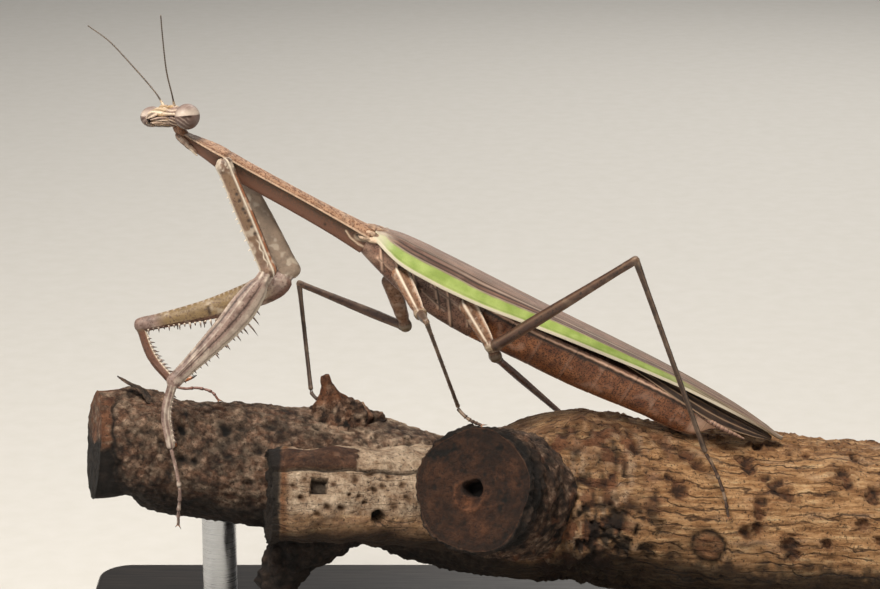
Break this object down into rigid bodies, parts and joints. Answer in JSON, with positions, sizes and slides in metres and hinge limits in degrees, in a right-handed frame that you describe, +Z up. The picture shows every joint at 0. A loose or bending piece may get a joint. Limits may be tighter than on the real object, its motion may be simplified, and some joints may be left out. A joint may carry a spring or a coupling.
{
  "type": "praying mantis",
  "caption": "Adult long-winged praying mantis standing head up on a cut branch, head turned aside, grasping forelegs lowered, wings folded, held by a plain stand.",
  "frame": {"origin": "middle of the underside of the stand's base, under the middle of the whole object", "axes": "+Z up; +X along the branch from the insect's head towards its tail, so the insect faces -X; the insect's left side faces -Y"},
  "size_m": [0.118, 0.06, 0.0968],
  "materials": {
    "shield_cuticle": "satin speckled brown cuticle",
    "head_cuticle": "satin tan cuticle with pale band",
    "eye": "glossy faceted eye, mauve grey with a cream band",
    "antenna": "dark brown thread",
    "body_cuticle": "satin reddish brown cuticle",
    "wing_left": "leathery fore wing, brown with a green front band",
    "wing_right": "leathery fore wing, brown with a green front band",
    "hind_wing": "folded membrane, dark brown",
    "fore_leg": "satin pale cuticle with dark stripes",
    "walking_leg": "satin dark brown cuticle",
    "bark": "rough cut branch with bark",
    "stand_wood": "black stained, satin",
    "rod_steel": "brushed"
  },
  "bodies": {
    "root": {"pronotum": "shield_cuticle", "neck": "head_cuticle", "head": "head_cuticle", "mouthparts": "head_cuticle", "palp_left": "head_cuticle", "palp_right": "head_cuticle", "eye_left": "eye", "eye_right": "eye", "antenna_left": "antenna", "antenna_right": "antenna", "thorax": "body_cuticle", "abdomen": "body_cuticle", "cercus_left": "body_cuticle", "cercus_right": "body_cuticle", "forewing_left": "wing_left", "forewing_right": "wing_right", "hindwing_left": "hind_wing", "hindwing_right": "hind_wing", "perch": "bark", "stand_base": "stand_wood", "stand_rod_1": "rod_steel", "stand_rod_2": "rod_steel", "fore_left_coxa": "fore_leg", "fore_left_femur": "fore_leg", "fore_left_tibia": "fore_leg", "fore_left_tarsus": "fore_leg", "fore_right_coxa": "fore_leg", "fore_right_femur": "fore_leg", "fore_right_tibia": "fore_leg", "fore_right_tarsus": "fore_leg", "mid_left_coxa": "fore_leg", "mid_left_femur": "walking_leg", "mid_left_tibia": "walking_leg", "mid_left_tarsus": "walking_leg", "mid_right_coxa": "fore_leg", "mid_right_femur": "walking_leg", "mid_right_tibia": "walking_leg", "mid_right_tarsus": "walking_leg", "hind_left_coxa": "fore_leg", "hind_left_femur": "walking_leg", "hind_left_tibia": "walking_leg", "hind_left_tarsus": "walking_leg", "hind_right_coxa": "fore_leg", "hind_right_femur": "walking_leg", "hind_right_tibia": "walking_leg", "hind_right_tarsus": "walking_leg"}
  },
  "joints": []
}
